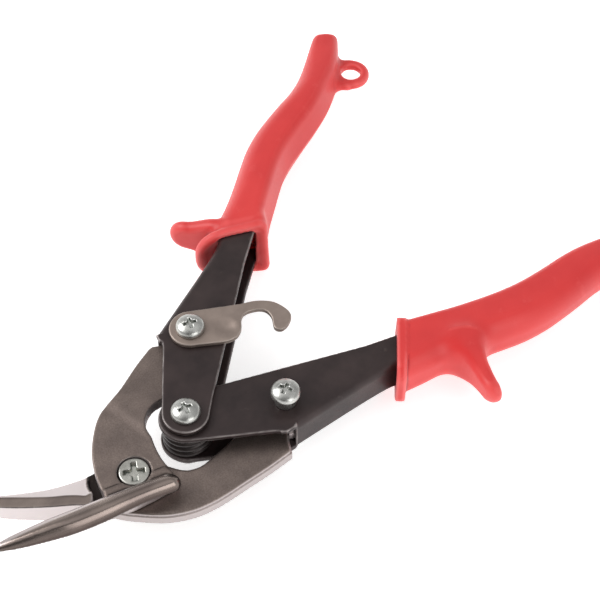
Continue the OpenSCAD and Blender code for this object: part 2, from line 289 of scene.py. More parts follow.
# ------------------------------------------------------------------ materials
class Nodes:
    """Short calls for building a material's node tree."""

    def __init__(self, name):
        self.material = bpy.data.materials.new(name)
        self.material.use_nodes = True
        self.tree = self.material.node_tree
        self.shader = self.tree.nodes["Principled BSDF"]
        self.place = self.add("ShaderNodeTexCoord").outputs["Object"]

    def add(self, kind, **inputs):
        """A new node with its inputs set or linked."""
        node = self.tree.nodes.new(kind)
        for key, value in inputs.items():
            self.put(node.inputs[key.replace("_", " ")], value)
        return node

    def put(self, socket, value):
        """Links the value if it comes from another node, and sets it otherwise."""
        if isinstance(value, bpy.types.NodeSocket):
            self.tree.links.new(value, socket)
        else:
            socket.default_value = value

    def noise(self, size_mm, detail=3.0, rough=0.55, stretch=(1, 1, 1)):
        """Noise from 0 to 1 whose lumps are about size_mm."""
        mapping = self.add("ShaderNodeMapping", Vector=self.place, Scale=stretch)
        node = self.add("ShaderNodeTexNoise", Vector=mapping.outputs[0], Scale=1 / (size_mm * MM),
                        Detail=detail, Roughness=rough)
        return node.outputs["Fac"]

    def spots(self, size_mm):
        """0 at the middle of spots about size_mm apart, more between them."""
        node = self.add("ShaderNodeTexVoronoi", Vector=self.place, Scale=1 / (size_mm * MM))
        return node.outputs["Distance"]

    def span(self, value, low, high, to_low=0.0, to_high=1.0):
        """Maps low to to_low and high to to_high, and holds the value between them."""
        node = self.tree.nodes.new("ShaderNodeMapRange")
        for socket, v in zip(node.inputs, (value, low, high, to_low, to_high)):
            self.put(socket, v)
        return node.outputs[0]

    def maths(self, how, a, b):
        """Arithmetic on two values."""
        node = self.tree.nodes.new("ShaderNodeMath")
        node.operation = how
        self.put(node.inputs[0], a)
        self.put(node.inputs[1], b)
        return node.outputs[0]

    def mix(self, share, a, b):
        """Colour a where the share is 0 and b where it is 1."""
        node = self.tree.nodes.new("ShaderNodeMix")
        node.data_type = "RGBA"
        self.put(node.inputs[0], share)
        self.put(node.inputs[6], a)
        self.put(node.inputs[7], b)
        return node.outputs[2]

    def drift(self, clouds, a, b):
        """Colour that drifts between two along a noise."""
        return self.mix(self.span(clouds, 0.35, 0.7), a, b)

    def grained(self, grain, low, high):
        """Roughness from low to high along a noise."""
        return self.span(grain, 0.3, 0.7, low, high)

    def mark(self, name):
        """A value that the mesh keeps at each vertex."""
        node = self.add("ShaderNodeAttribute")
        node.attribute_name = name
        return node.outputs["Fac"]

    def edges(self, low, high):
        """0 to 1 as the surface bends from low to high: outer edges over 0, inner corners under it."""
        return self.span(self.mark("edge_weight"), low, high)

    def walls(self):
        """1 on upright faces, 0 on level ones."""
        normal = self.add("ShaderNodeNewGeometry").outputs["Normal"]
        upward = self.add("ShaderNodeSeparateXYZ", Vector=normal).outputs["Z"]
        return self.span(self.maths("MULTIPLY", upward, upward), 0.5, 0.1)

    def bump(self, height, distance_mm, strength=1.0, under=None):
        """Relief of a height field, on top of the one under it."""
        node = self.add("ShaderNodeBump", Height=height, Distance=distance_mm * MM, Strength=strength)
        if under is not None:
            self.put(node.inputs["Normal"], under)
        return node.outputs[0]

    def finish(self, **inputs):
        """Sets the shader's inputs and gives the material."""
        for key, value in inputs.items():
            self.put(self.shader.inputs[key.replace("_", " ")], value)
        return self.material


def rgb(r, g, b):
    """Linear colour of a screen colour given from 0 to 255."""
    linear = [((c / 255 + 0.055) / 1.055) ** 2.4 if c > 10 else c / 255 / 12.92 for c in (r, g, b)]
    return (*linear, 1.0)


def blade_steel(name, bare_wall_light_and_shade):
    """Forged scale with lighter trimmed walls, partly their own tone and partly painted light, painted shade
    in its inner corners and a painted highlight on its outer edges. The polish mark sets the ground steel, a
    painted highlight on part of it, and painted shade.
    """
    n = Nodes(name)
    blotches = n.noise(8, 4)
    grain = n.noise(0.45, 3, 0.7)
    pits = n.spots(2.6)
    colour = n.drift(blotches, rgb(114, 102, 97), rgb(136, 122, 115))
    colour = n.mix(n.span(grain, 0.35, 0.75, 0.0, 0.6), colour, rgb(84, 74, 69))
    colour = n.mix(n.maths("MULTIPLY", n.span(pits, 0.08, 0.02), 0.5), colour, rgb(44, 38, 36))
    # painted highlight along the outer edges
    colour = n.mix(n.edges(0.45, 1.0), colour, rgb(146, 136, 130))
    # painted shade in the inner corners
    colour = n.mix(n.edges(-0.12, -0.4), colour, rgb(38, 32, 30))
    ground_and_light = n.mark("polish_and_painted_light")
    clouds = n.noise(6, 3, 0.5, (0.5, 1.0, 1.0))
    bare = n.drift(clouds, rgb(122, 110, 105), rgb(144, 131, 124))
    # painted highlight along the bare steel's outer edges
    bare = n.mix(n.edges(0.35, 0.9), bare, rgb(180, 171, 166))
    relief = n.bump(n.span(ground_and_light, 0, 1, grain, 0.5), 0.08, 0.7)
    relief = n.bump(n.span(pits, 0.0, 0.14), 0.06, 0.2, relief)
    rough = n.grained(grain, 0.36, 0.5)
    # upright faces: the scale's walls lighter, partly for their trim and partly as painted light; the bare
    # walls take the painted wall tone given for each blade
    wall_trim_and_light = n.maths("MULTIPLY", n.walls(), 0.85)
    colour = n.mix(ground_and_light, n.mix(wall_trim_and_light, colour, rgb(190, 180, 179)), n.mix(wall_trim_and_light, bare, bare_wall_light_and_shade))
    # painted highlight where the polish mark goes over 1
    painted_highlight = n.span(ground_and_light, 1.05, 1.5)
    colour = n.mix(painted_highlight, colour, rgb(204, 194, 193))
    # painted shade where the polish mark goes under 0
    colour = n.mix(n.span(ground_and_light, -0.2, -0.8), colour, rgb(40, 34, 32))
    metal = n.span(painted_highlight, 0, 1, n.span(ground_and_light, 0, 1, 0.8, 0.95), 0.5)
    return n.finish(Base_Color=colour, Metallic=metal, Normal=relief,
                    Roughness=n.span(ground_and_light, 0, 1, rough, 0.26))


def black_oxide():
    """Blackened sheet, rubbed bare along its edges."""
    n = Nodes("black_oxide")
    clouds = n.noise(11, 4)
    grain = n.noise(0.5, 3, 0.7)
    specks = n.noise(3.5, 2)
    colour = n.drift(clouds, rgb(42, 32, 32), rgb(60, 48, 47))
    colour = n.mix(n.span(specks, 0.68, 0.76, 0, 0.35), colour, rgb(84, 73, 69))
    worn = n.maths("MULTIPLY", n.edges(0.42, 0.85), n.span(n.noise(5, 3), 0.35, 0.6, 0.25, 0.9))
    colour = n.mix(worn, colour, rgb(166, 158, 156))
    return n.finish(Base_Color=colour, Metallic=n.span(worn, 0, 1, 0.25, 0.9), Specular_IOR_Level=0.4,
                    Roughness=n.grained(grain, 0.34, 0.48), Normal=n.bump(grain, 0.03, 0.5))


def red_vinyl():
    """Dipped vinyl: paler scuffs, a painted highlight on its edges, and painted shade in deeper red in its
    creases.
    """
    n = Nodes("red_vinyl")
    clouds = n.noise(22, 3)
    skin = n.noise(0.8, 4, 0.65)
    scuffs = n.noise(5, 4, 0.6, (1.0, 1.0, 0.3))
    colour = n.drift(clouds, rgb(206, 38, 38), rgb(218, 50, 48))
    colour = n.mix(n.span(scuffs, 0.62, 0.78, 0, 0.25), colour, rgb(226, 92, 88))
    # painted highlight on the outer edges
    colour = n.mix(n.edges(0.2, 0.6), colour, rgb(232, 88, 86))
    # painted shade, in deeper red, in the creases
    colour = n.mix(n.edges(-0.06, -0.35), colour, rgb(176, 20, 24))
    return n.finish(Base_Color=colour, Roughness=n.grained(skin, 0.38, 0.5), Normal=n.bump(skin, 0.03, 0.35),
                    Specular_IOR_Level=0.5, Sheen_Weight=0.15, Subsurface_Weight=0.08,
                    Subsurface_Radius=(1.0, 0.25, 0.2), Subsurface_Scale=0.003)


def zinc(name, tone):
    """Zinc plating of a given tone, with painted shade in its corners and a painted highlight on its edges.
    """
    n = Nodes(name)
    clouds = n.noise(2.5, 3)
    grain = n.noise(0.35, 3, 0.7)
    colour = n.drift(clouds, rgb(*tone), rgb(*(c * 0.86 for c in tone)))
    # painted shade in the corners and the cross recesses
    colour = n.mix(n.edges(-0.15, -0.6), colour, rgb(104, 110, 104))
    # painted highlight on the outer edges
    colour = n.mix(n.edges(0.3, 0.8), colour, rgb(232, 232, 230))
    return n.finish(Base_Color=colour, Metallic=0.95, Roughness=n.grained(grain, 0.24, 0.36),
                    Normal=n.bump(grain, 0.02, 0.5))


def latch_plate():
    """Stamped and plated sheet with lighter edges."""
    n = Nodes("latch_plate")
    clouds = n.noise(6, 4)
    grain = n.noise(0.5, 3, 0.7)
    colour = n.drift(clouds, rgb(140, 126, 118), rgb(156, 141, 132))
    colour = n.mix(n.edges(0.3, 0.7), colour, rgb(168, 156, 148))
    return n.finish(Base_Color=colour, Metallic=0.75, Roughness=n.grained(grain, 0.38, 0.52),
                    Normal=n.bump(grain, 0.03, 0.5))


def spring_steel():
    """Dark drawn wire and turned steel."""
    n = Nodes("spring_steel")
    clouds = n.noise(3, 3)
    grain = n.noise(0.3, 3, 0.7, (1.0, 1.0, 0.4))
    colour = n.drift(clouds, rgb(38, 32, 32), rgb(54, 47, 45))
    colour = n.mix(n.span(grain, 0.62, 0.8, 0, 0.5), colour, rgb(104, 96, 92))
    return n.finish(Base_Color=colour, Metallic=0.5, Roughness=n.grained(grain, 0.28, 0.42),
                    Normal=n.bump(grain, 0.02, 0.5))


# bare upright faces: painted shade on the upper blade, painted light on the lower one
UPPER_STEEL = blade_steel("upper_blade_steel", rgb(62, 52, 49))
LOWER_STEEL = blade_steel("lower_blade_steel", rgb(190, 180, 179))
OXIDE = black_oxide()
VINYL = red_vinyl()
ZINC = zinc("zinc", (192, 192, 188))
DULL_ZINC = zinc("dull_zinc", (188, 187, 180))
PLATE = latch_plate()
DARK_STEEL = spring_steel()

# ------------------------------------------------------------------ sheet, shanks and outlines
# thickness of the handles' sheet, and radius of every screw's shank
SHEET = 1.8
SHANK = 2.75
# outlines of grips and handles are in u and v, and those of the blades in x and y from the blade pivot
# outer and inner side of a grip
GRIP_OUTER = [(61, -1.2), (68, -3.4), (75, -5.6), (82, -7.9), (92, -10.5), (103, -12.9), (110, -14.6),
              (117, -17.2), (123, -20.2), (130, -24.2), (137.5, -28.7), (145.6, -32.2), (154.4, -34.8),
              (163.4, -36.9), (176, -39.7)]
GRIP_INNER = [(176, -46.9), (163.4, -46.9), (154, -46.8), (146, -45.4), (136, -42.7), (128, -39.6),
              (118.5, -34.8), (111, -31.4), (104.5, -29.2), (97, -27.3), (86, -25.1), (74, -22.7),
              (61, -19.8)]
# outer and inner side of a handle's channel, to beyond its end in the grip
CHANNEL_WEB = [(28.6, 10.6), (60, -4.6), (70, -7.4), (87, -11.2), (103, -15.2)]
CHANNEL_INNER = [(104, -26.2), (86, -22.2), (69.7, -18.4), (57.8, -15.8)]
# each grip's mouth, from its inner end to its outer one
LEFT_MOUTH = ((72.0, -22.9), (64.7, 0.2))
RIGHT_MOUTH = ((69.4, -23.6), (64.4, -1.6))


def mouth_axes(g, mouth):
    """Distance behind a grip's mouth, distance along the mouth from its inner end, and its length."""
    (u0, v0), (u1, v1) = mouth
    rim = math.hypot(u1 - u0, v1 - v0)
    behind = ((v1 - v0) * (g.x - u0) - (u1 - u0) * (g.y - v0)) / rim
    along = ((u1 - u0) * (g.x - u0) + (v1 - v0) * (g.y - v0)) / rim
    return behind, along, rim


# ------------------------------------------------------------------ grips
GRIP_STEP = 0.6
# where the butt is cut off, and its edge
BUTT = 167.1
BUTT_EDGE = 1.8
# edge radii along the outer side, along the inner side and at the butt's outer side
OUTER_EDGE = 6.2
INNER_EDGE = 2.2
BUTT_SIDE_EDGE = 2.4
# the collar round the mouth: its depth, how far it stands above the grip, its lip and its inner corners
COLLAR = 3.1
COLLAR_PROUD = 0.4
LIP = 2.4
INNER_CORNER = 2.5
# how much the mouth tilts with height, and how far and how steeply the funnel inside it goes in
MOUTH_TILT = 0.14
FUNNEL = 3.2
FUNNEL_SLOPE = 1.9
# depth of the slot round the channel, and of the hollow beyond it
SLOT = 6.5
HOLLOW = 3.0
# a guard's thickness at its tip, and its edge
GUARD_THICK = 4.6
GUARD_EDGE = 2.1
# the crown: how far in from the sides it levels out
CROWN_REACH = 8
# half height of the right grip, which is lower than the left one
RIGHT_HALF = 9.1
# the lanyard ring: its middle, its radii, half its thickness, and its neck
RING_U = 152.6
RING_V = -51.2
RING_HOLE = 3.6
RING_RADIUS = 6.7
RING_HALF_THICK = 1.5
NECK_U = 152.0
NECK_V = -46
NECK_HALF_WIDE = 6.0
NECK_HALF_LONG = 4


def grip_body(g, half, behind, lean):
    """The hand's part: a crowned bar with a round outer side, a sloping inner side and a blunt butt."""
    flat = plan(g, outline(GRIP_OUTER, [GRIP_INNER[0]], GRIP_INNER[1:], [GRIP_OUTER[0]]))
    inward = ease(curve_distance(g, GRIP_OUTER) - curve_distance(g, GRIP_INNER), -4, 4)
    middle = ease(g.x, 100, 118) * ease(-g.x, -160, -146)
    towards_butt = ease(g.x, 140, 164)
    # the inner side swells at mid height, most in the grip's middle, and falls back above and below
    swell = 1.5 * middle - 0.5 + 0.5 * towards_butt
    fall = (2.6 + 1.4 * middle - 2.0 * towards_butt) * np.abs(g.z) / half
    leaning = flat - lean * inward * ease(behind, 1, 10) * (swell - fall)
    high = half - 0.4 * ease(g.x, 100, 130) - 1.9 * ease(g.x, 128, 172)
    crown = ease(behind, 7, 20) * np.clip(1 + flat / CROWN_REACH, 0, 1) ** 2
    edge = OUTER_EDGE - (OUTER_EDGE - INNER_EDGE) * inward
    edge = edge - (OUTER_EDGE - BUTT_SIDE_EDGE) * towards_butt * (1 - inward)
    bar = slab(g, leaning, -high + crown, high - crown, edge)
    return common(bar, g.x - BUTT, BUTT_EDGE)


def guard(g, root, tip, high, thick):
    """Finger guard: a fin that leans towards the butt and narrows towards its round tip."""
    (root_u, root_v), (tip_u, tip_v) = root, tip
    tip_radius = 0.62 * high
    half_high = high - (high - tip_radius) * ease(g.y, root_v + 3, tip_v - 5)
    side = np.hypot(np.maximum(g.y - tip_v + tip_radius, 0), g.z) - half_high
    middle = root_u + (tip_u - root_u) * (g.y - root_v) / (tip_v - root_v)
    wide = GUARD_THICK + (thick - GUARD_THICK) * ease(-g.y, -tip_v, -root_v)
    return rounded(np.maximum(side, root_v - g.y), np.abs(g.x - middle) - wide / 2, GUARD_EDGE)


def grip(g, channel_half, half, mouth, corner, collar_edge, lean, fin, fillet):
    """Grip with a collar round its mouth, a funnel inside the collar, a guard and a slot for the channel.

    lean says how much the inner side slopes and the mouth tilts, from 0 to 1. corner is the collar's outer
    corner radius, and fillet the one between the grip and its guard.
    """
    behind, along, rim = mouth_axes(g, mouth)
    behind = behind + MOUTH_TILT * lean * (half - g.z) * ease(-along, -0.6 * rim, 0)
    body = common(grip_body(g, half - COLLAR_PROUD, behind, lean), 1.0 - behind, 0.6)
    body = join(body, fin, fillet)
    corner_radius = np.where(along < rim / 2, INNER_CORNER, corner)
    section = rounded(np.abs(along - rim / 2) - rim / 2, np.abs(g.z) - half, corner_radius)
    collar = rounded(section, np.abs(behind - COLLAR / 2) - COLLAR / 2, collar_edge)
    body = join(body, collar, 0.4 * collar_edge + 0.5)
    funnel = np.maximum(section + LIP + FUNNEL_SLOPE * np.maximum(behind, 0), np.abs(behind) - FUNNEL)
    body = cut(body, funnel, 0.8)
    channel_plan = plan(g, outline(CHANNEL_WEB[1:], [CHANNEL_INNER[0]], CHANNEL_INNER[1:]))
    slot = slab(g, np.maximum(channel_plan, behind - SLOT), -channel_half, channel_half, 2.0)
    body = cut(body, slot, 0.4)
    between = np.maximum(channel_plan, SHEET - curve_distance(g, CHANNEL_WEB))
    hollow_plan = np.maximum(between, behind - SLOT - HOLLOW)
    return cut(body, slab(g, hollow_plan, SHEET - channel_half, channel_half - SHEET, 0.3), 0.4)


def lanyard_ring(g, field):
    """Adds a flat ring for a lanyard, on a short neck, to the grip's inner side."""
    neck = np.maximum(np.abs(g.x - NECK_U) - NECK_HALF_WIDE, np.abs(g.y - NECK_V) - NECK_HALF_LONG)
    flat = join(disc(g, RING_RADIUS, RING_U, RING_V), neck, 3.0)
    field = join(field, slab(g, flat, -RING_HALF_THICK, RING_HALF_THICK, 1.2), 3.2)
    return drilled(g, field, RING_HOLE, RING_U, RING_V, edge=0.7)


def left_grip():
    """Grip with the taller guard and the lanyard ring."""
    g = Grid((61, -60.5, -12), (171, 12, 12), GRIP_STEP)
    fin = guard(g, root=(73.6, -9), tip=(77.2, 9.7), high=8.8, thick=5.0)
    field = grip(g, channel_half=top_of("left_handle"), half=top_of("left_grip"), mouth=LEFT_MOUTH,
                 corner=9.0, collar_edge=1.3, lean=1.0, fin=fin, fillet=2.2)
    field = lanyard_ring(g, field)
    piece("left_grip_vinyl", "left_handle", VINYL, g, field, LEFT, "left_grip")


def right_grip():
    """Lower grip with a low, filleted guard."""
    g = Grid((61, -50, -12), (171, 10, 12), GRIP_STEP)
    fin = guard(g, root=(88.6, -12), tip=(94.0, 7.4), high=7.0, thick=6.6)
    field = grip(g, channel_half=top_of("right_handle"), half=RIGHT_HALF, mouth=RIGHT_MOUTH,
                 corner=5.0, collar_edge=0.4, lean=0.15, fin=fin, fillet=8.0)
    piece("right_grip_vinyl", "right_handle", VINYL, g, field, RIGHT, "right_grip")


# ------------------------------------------------------------------ handles
HANDLE_STEP = 0.4
# edge radius where the sheet is sheared and where it is bent round into the web
SHEARED_EDGE = 0.35
BEND = 2.3
# how far short of its slot's end a channel stops in its grip
END_GAP = 0.2


def channel(g, half, nose, front, web_start, pivot_hole, mouth):
    """Pressed-steel channel: two flanges and a web along the outer side, open on the inner side.

    nose is the radius round the handle pivot, front the outer side from there to the web, and web_start
    where along u the web begins.
    """
    round_nose = [(-nose * math.sin(a), -nose * math.cos(a)) for a in np.radians(np.arange(0, 181, 12))]
    flat = plan(g, outline(round_nose, front, [CHANNEL_WEB[0]], CHANNEL_WEB[1:], [CHANNEL_INNER[0]],
                           CHANNEL_INNER[1:], [(6, -nose - 0.7)], [(0, -nose)]))
    web = curve_distance(g, CHANNEL_WEB)
    at_web = ease(-web, -5, -3) * ease(g.x, web_start, web_start + 0.8)
    solid = slab(g, flat, -half, half, SHEARED_EDGE + (BEND - SHEARED_EDGE) * at_web)
    hollow = slab(g, np.minimum(SHEET - web, g.x - web_start), -half + SHEET, half - SHEET, 0.5)
    field = cut(solid, hollow, 0.35)
    field = drilled(g, field, pivot_hole)
    field = drilled(g, field, SHANK, handle_arm)
    behind = mouth_axes(g, mouth)[0]
    return common(field, behind - SLOT + END_GAP, 0.3)


def left_handle():
    """The wider channel, outside the other at the handle pivot."""
    half = top_of("left_handle")
    g = Grid((-9, -25, -half - 1), (80, 13, half + 1), HANDLE_STEP)
    field = channel(g, half, nose=7.1, front=[(12, 7.7), (24.6, 8.3), (26.4, 9.6)], web_start=28.6,
                    pivot_hole=SHANK, mouth=LEFT_MOUTH)
    piece("left_handle_channel", "left_handle", OXIDE, g, field, LEFT, "left_handle")


def right_handle():
    """The narrower channel, with the looser hole at the handle pivot."""
    half = top_of("right_handle")
    g = Grid((-9, -25, -half - 1), (80, 13, half + 1), HANDLE_STEP)
    field = channel(g, half, nose=8.3, front=[(12, 9.0), (24.6, 9.7), (27, 10.4)], web_start=31.4,
                    pivot_hole=SHANK + 0.35, mouth=RIGHT_MOUTH)
    piece("right_handle_channel", "right_handle", OXIDE, g, field, RIGHT, "right_handle")


# ------------------------------------------------------------------ fasteners
SCREW_STEP = 0.16
HEAD_RADIUS = 4.55
PAN_HEIGHT = 3.0
# how far below its seat a pan head's dome is centred
DOME_DROP = 4.35
SHOULDER_RADIUS = 3.3
# how far a shank or a shoulder goes up into its head
INTO_HEAD = 0.8
# half length of a pan head's cross recess, and how deep every recess is
PAN_RECESS = 2.3
RECESS_DEPTH = 1.3
# the flush screw: its head's top and thickness, and its recess's half length
FLUSH_TOP = 4.0
FLUSH_THICK = 2.6
FLUSH_RECESS = 3.3
# the nuts: radius to the corners, radius and slope of the chamfers at the faces, and the collar
NUT_RADIUS = 4.6
CHAMFER_RADIUS = 4.15
CHAMFER_SLOPE = 1.6
NUT_COLLAR_RADIUS = 3.75


def cross_recess(g, top, turn, reach):
    """Cross recess whose wings narrow as they go down."""
    c, s = math.cos(turn), math.sin(turn)
    x, y = g.x * c + g.y * s, g.y * c - g.x * s
    deep = np.clip(top - g.z, 0, 3)
    wide = 0.25 * reach - 0.12 * deep
    wing = np.maximum(np.abs(x) - reach + 0.55 * deep, np.abs(y) - wide)
    other_wing = np.maximum(np.abs(y) - reach + 0.55 * deep, np.abs(x) - wide)
    middle = np.hypot(x, y) - 0.46 * reach + 0.35 * deep
    return np.maximum(join(np.minimum(wing, other_wing), middle, 0.35), top - RECESS_DEPTH - g.z)


def pan_head(g, seat, turn):
    """Domed head on a seat, with its cross recess turned."""
    across = np.hypot(g.x, g.y)
    dome = np.sqrt(across**2 + (g.z - seat + DOME_DROP) ** 2) - (PAN_HEIGHT + DOME_DROP)
    side = slab(g, across - HEAD_RADIUS, seat, seat + PAN_HEIGHT + 1, 0.35)
    return cut(common(side, dome, 0.9), cross_recess(g, seat + PAN_HEIGHT, turn, PAN_RECESS), 0.25)


def screw(name, body, place, stands_for, turn, seat, shoulder=None):
    """Pan-head screw or stud with a cross recess, a plain shank and a rounded end."""
    low = bottom_of(stands_for)
    g = Grid((-5.2, -5.2, low - 0.6), (5.2, 5.2, seat + PAN_HEIGHT + 0.6), SCREW_STEP)
    field = np.minimum(pan_head(g, seat, turn), slab(g, disc(g, SHANK), low, seat + INTO_HEAD, 0.5))
    if shoulder is not None:
        field = np.minimum(field, slab(g, disc(g, SHOULDER_RADIUS), shoulder, seat + INTO_HEAD, 0.2))
    piece(name, body, ZINC, g, field, place, stands_for)


def blade_screw():
    """Flush screw: a flat head in the blade's counterbore."""
    low = bottom_of("blade_pivot_screw")
    g = Grid((-5.2, -5.2, low - 0.6), (5.2, 5.2, FLUSH_TOP + 0.8), SCREW_STEP)
    field = slab(g, disc(g, HEAD_RADIUS), FLUSH_TOP - FLUSH_THICK, FLUSH_TOP, 0.45)
    field = cut(field, cross_recess(g, FLUSH_TOP, turn=0.85, reach=FLUSH_RECESS), 0.25)
    field = np.minimum(field, slab(g, disc(g, SHANK), low, FLUSH_TOP - 2.2, 0.5))
    piece("blade_screw", "lower_blade", DULL_ZINC, g, field, BLADES, "blade_pivot_screw")


def lock_nut(name, body, place, stands_for):
    """Hexagon nut with chamfered corners and a collar for its locking ring."""
    low, high = bottom_of(stands_for), top_of(stands_for)
    g = Grid((-5.4, -5.4, low - 1), (5.4, 5.4, high + 1), 0.2)
    flats = [math.radians(30 + 60 * k) for k in range(6)]
    across = NUT_RADIUS * math.cos(math.radians(30))
    hexagon = np.max([g.x * math.cos(a) + g.y * math.sin(a) - across for a in flats], axis=0)
    lower_cone = np.hypot(g.x, g.y) - CHAMFER_RADIUS - (g.z - low) * CHAMFER_SLOPE
    upper_cone = np.hypot(g.x, g.y) - CHAMFER_RADIUS - (high - g.z) * CHAMFER_SLOPE
    field = common(slab(g, hexagon, low + 0.9, high, 0.15), upper_cone, 0.2)
    field = join(field, slab(g, disc(g, NUT_COLLAR_RADIUS), low, low + 1.6, 0.6), 0.4)
    field = drilled(g, common(field, lower_cone, 0.2), SHANK)
    piece(name, body, ZINC, g, field, place, stands_for)


# ------------------------------------------------------------------ handle spring
WIRE_RADIUS = 1.4
COIL_RADIUS = 6.3
COIL_PITCH = 2.695
COIL_TURNS = 3
STEPS_PER_TURN = 48
LEG_REACH = handle_arm - 2


def wire(name, body, route, place):
    """A length of the spring's wire along a route."""
    data = bpy.data.curves.new(name, "CURVE")
    data.dimensions = "3D"
    data.bevel_depth = WIRE_RADIUS * MM
    data.bevel_resolution = 6
    data.use_fill_caps = True
    line = data.splines.new("POLY")
    line.points.add(len(route) - 1)
    for point, p in zip(line.points, route):
        point.co = (*(place @ Vector(p)), 1)
    obj = bpy.data.objects.new(name, data)
    bpy.context.scene.collection.objects.link(obj)
    data.materials.append(DARK_STEEL)
    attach(obj, body)
    return obj


def handle_spring():
    """Torsion spring: close turns of wire, with one leg lying in each handle."""
    turns = []
    for k in range(STEPS_PER_TURN * COIL_TURNS + 1):
        done = k / STEPS_PER_TURN
        a = 2 * math.pi * (done + 0.25)
        rise = COIL_PITCH * (done - COIL_TURNS / 2)
        turns.append((COIL_RADIUS * math.cos(a), COIL_RADIUS * math.sin(a), rise))
    (x0, y0, z0), (x1, y1, z1) = turns[0], turns[-1]
    left_leg = [(x0 + LEG_REACH, y0, z0), (x0 + LEG_REACH / 2, y0, z0)]
    right_leg = [(x1 - 0.5, y1, z1), (x1 + LEG_REACH / 2, y1, z1), (x1 + LEG_REACH, y1, z1)]
    coil = wire("handle_spring_coil", "left_handle", left_leg + turns, LEFT)
    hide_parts("handle_spring")
    wire("handle_spring_leg", "right_handle", right_leg, RIGHT)


# ------------------------------------------------------------------ latch
LATCH_ANGLE = math.radians(-77.5)
LATCH_ROOT_RADIUS = 6.6
# the hook's outer side, then its tip and the mouth that takes the stud, then the tab beside the root
HOOK_BACK = [(20.5, 6.3), (23.8, 5.9), (26.8, 4.8), (29, 2.9), (30.7, 0.6), (31.3, -1.2)]
HOOK_TIP_AND_MOUTH = [(30.9, -2.9), (29.4, -5.1), (27.6, -6.3), (26.2, -6.2), (25.2, -5.2), (25.1, -3.6),
                      (25.2, -1.2), (24.5, 0.9), (23.2, 2.2), (21.4, 2.7), (18.6, 2.5), (16.8, 1.7)]
LATCH_TAB = [(15.9, 0), (15.5, -2.4), (14.8, -4.4), (13.3, -6.2), (10.9, -7.1), (8, -7.2)]
# the pressed dimple: where it is in plan, how far its ball is centred over the plate, and its radius
DIMPLE_X = 10.8
DIMPLE_Y = -2.2
DIMPLE_RISE = 4.8
DIMPLE_RADIUS = 5.5


def latch():
    """Stamped hook with a round root on its screw and a pressed dimple."""
    low, high = bottom_of("latch"), top_of("latch")
    g = Grid((-8, -9, low - 0.8), (33, 8.5, high + 0.8), 0.22)
    root = [(LATCH_ROOT_RADIUS * math.cos(a), LATCH_ROOT_RADIUS * math.sin(a))
            for a in np.radians(np.arange(-85, -276, -12))]
    flat = plan(g, outline(root, [(16.6, 6.0)], HOOK_BACK, HOOK_TIP_AND_MOUTH, LATCH_TAB, [(0.6, -6.57)]))
    field = drilled(g, slab(g, flat, low, high, 0.3), SHANK)
    ball_z = high + DIMPLE_RISE
    dimple = np.sqrt((g.x - DIMPLE_X) ** 2 + (g.y - DIMPLE_Y) ** 2 + (g.z - ball_z) ** 2) - DIMPLE_RADIUS
    field = cut(field, dimple, 1.0)
    place = LEFT_TANG @ Matrix.Rotation(LATCH_ANGLE, 4, "Z")
    piece("latch_plate", "latch", PLATE, g, field, place, "latch")


# ------------------------------------------------------------------ blades
BLADE_STEP = 0.4
# heights of the jaw bar's shear plane and of the pivot disc's top
SHEAR = 4.7
DISC_TOP = 4.1
TANG_X = (left_tang.x - blade_pivot.x) / MM
TANG_Y = (left_tang.y - blade_pivot.y) / MM
TANG_RADIUS = 7.0
# how far the tang's top steps up behind the disc, and the counterbore of the blade screw
TANG_STEP = 0.35
COUNTERBORE_RADIUS = 5.05
COUNTERBORE_FLOOR = 1.5
# where the handle pivot's stack comes to between the blades when the tool closes, and its room
STACK_X = -20.1
STACK_Y = 3.5
STACK_ROOM = 8.0
# the jaw bar's cutting edge and its back
JAW_EDGE = [(9.6, -0.2), (15, -2.8), (19.1, -4.7), (27.1, -8.5), (34.3, -11.4), (40.1, -13.5), (45.6, -15.2)]
JAW_BACK = [(45.6, -15.2), (46.4, -13.3), (43.2, -10.1), (38.9, -6.5), (33.1, -2.5), (27.1, 1.3),
            (21.8, 4.0), (16.2, 6.4), (10.2, 8.6), (4.5, 10.9), (-1, 13.6), (-3.6, 14.6), (-5.8, 13.2),
            (-6.4, 10.6), (-5.6, 7.4)]
# radius of the bar's round back at distances along x, and rise of its bevel per millimetre from the edge
JAW_RADIUS = [(-8, 3.7), (5, 4.0), (27, 4.0), (34, 3.4), (39, 2.6), (43, 1.8), (47, 1.0)]
BEVEL_SLOPE = 0.85
# the upper blade: its shearing side round disc and tang, the tang's end, the opening and the disc's far side
UPPER_RIM = [(11.9, -0.2), (10.1, -4.1), (8.1, -7.8), (5.5, -11.5), (2.7, -14.6), (-0.5, -17.3), (-4.4, -20),
             (-8.4, -21.8), (-12.6, -22.4), (-18.5, -23.2), (-27.3, -25.4), (-34.4, -26.7)]
UPPER_TANG_END = corners((-36, -26.6), (-38.4, -24.6), (-40.5, -24.2), (-47.8, -12.6), (-35, -9.2))
UPPER_OPENING = [(-29, -9.9), (-23.3, -10.6), (-17.7, -10.1), (-15.2, -8.8), (-12.8, -5.5), (-10.2, -1),
                 (-8.4, 3.4), (-7.4, 7.8)]
JAW_ROOT = (-6.3, 12.2)
DISC_BACK = [(-1.2, 10.9), (3.5, 9.4), (9.3, 7.1), (12.2, 4)]
# the straight line across the disc where the raised part beside the bar ends
BESIDE_JAW = [(10.4, -2.2), (-6.8, 6.1)]
